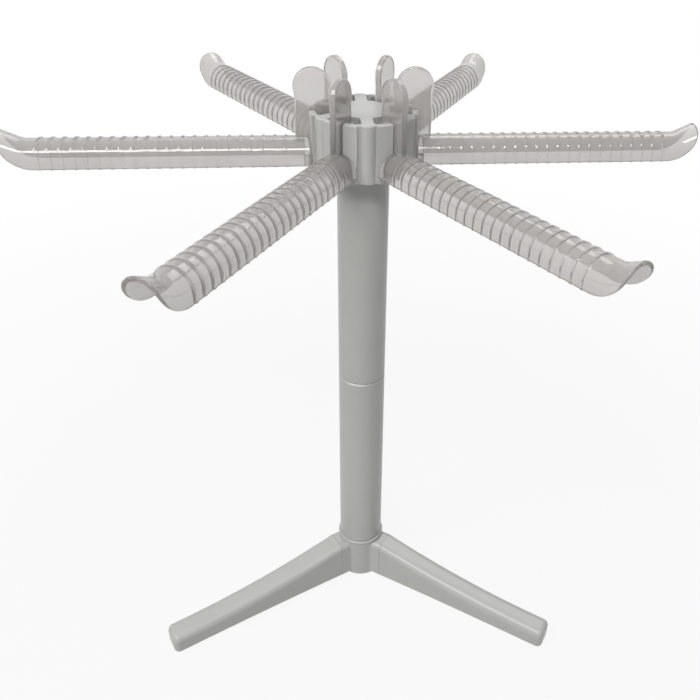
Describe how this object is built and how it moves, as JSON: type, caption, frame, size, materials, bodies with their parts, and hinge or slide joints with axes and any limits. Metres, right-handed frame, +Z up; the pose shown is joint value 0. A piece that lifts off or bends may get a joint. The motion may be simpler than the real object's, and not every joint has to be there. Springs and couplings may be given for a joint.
{
  "type": "pasta drying rack",
  "caption": "Free-standing pasta drying rack: clear ribbed arms round a turning hub on a plug-together pole, over short tapering hook-in legs.",
  "frame": {"origin": "on the floor, on the pole's axis", "axes": "+Z up the pole, +X along the pair of arms that lies nearest to it (4.6 degrees off), +Y over the rear leg"},
  "size_m": [0.3452, 0.3176, 0.3402],
  "materials": {
    "grey_plastic": "satin moulded",
    "clear_plastic": "clear, glossy"
  },
  "bodies": {
    "base": {"base_socket": "grey_plastic"},
    "lower_pole": {"lower_tube": "grey_plastic"},
    "upper_pole": {"upper_tube": "grey_plastic"},
    "hub": {"hub": "grey_plastic"},
    "leg_1": {"leg_1": "grey_plastic"},
    "leg_2": {"leg_2": "grey_plastic"},
    "leg_3": {"leg_3": "grey_plastic"},
    "arm_1": {"arm_1": "clear_plastic"},
    "arm_2": {"arm_2": "clear_plastic"},
    "arm_3": {"arm_3": "clear_plastic"},
    "arm_4": {"arm_4": "clear_plastic"},
    "arm_5": {"arm_5": "clear_plastic"},
    "arm_6": {"arm_6": "clear_plastic"}
  },
  "joints": [
    {"name": "lower_pole_pull", "type": "slide", "parent": "base", "child": "lower_pole", "axis": [0, 0, 1], "range_m": [0, 0.022]},
    {"name": "upper_pole_pull", "type": "slide", "parent": "lower_pole", "child": "upper_pole", "axis": [0, 0, 1], "range_m": [0, 0.022]},
    {"name": "hub_turn", "type": "hinge", "parent": "upper_pole", "child": "hub", "pos_m": [0, 0, 0.305], "axis": [0, 0, 1], "continuous": true},
    {"name": "leg_1_unhook", "type": "slide", "parent": "base", "child": "leg_1", "axis": [0, 0, -1], "range_m": [0, 0.025]},
    {"name": "leg_2_unhook", "type": "slide", "parent": "base", "child": "leg_2", "axis": [0, 0, -1], "range_m": [0, 0.025]},
    {"name": "leg_3_unhook", "type": "slide", "parent": "base", "child": "leg_3", "axis": [0, 0, -1], "range_m": [0, 0.025]},
    {"name": "arm_1_lift", "type": "slide", "parent": "hub", "child": "arm_1", "axis": [0, 0, 1], "range_m": [0, 0.032]},
    {"name": "arm_2_lift", "type": "slide", "parent": "hub", "child": "arm_2", "axis": [0, 0, 1], "range_m": [0, 0.032]},
    {"name": "arm_3_lift", "type": "slide", "parent": "hub", "child": "arm_3", "axis": [0, 0, 1], "range_m": [0, 0.032]},
    {"name": "arm_4_lift", "type": "slide", "parent": "hub", "child": "arm_4", "axis": [0, 0, 1], "range_m": [0, 0.032]},
    {"name": "arm_5_lift", "type": "slide", "parent": "hub", "child": "arm_5", "axis": [0, 0, 1], "range_m": [0, 0.032]},
    {"name": "arm_6_lift", "type": "slide", "parent": "hub", "child": "arm_6", "axis": [0, 0, 1], "range_m": [0, 0.032]}
  ]
}
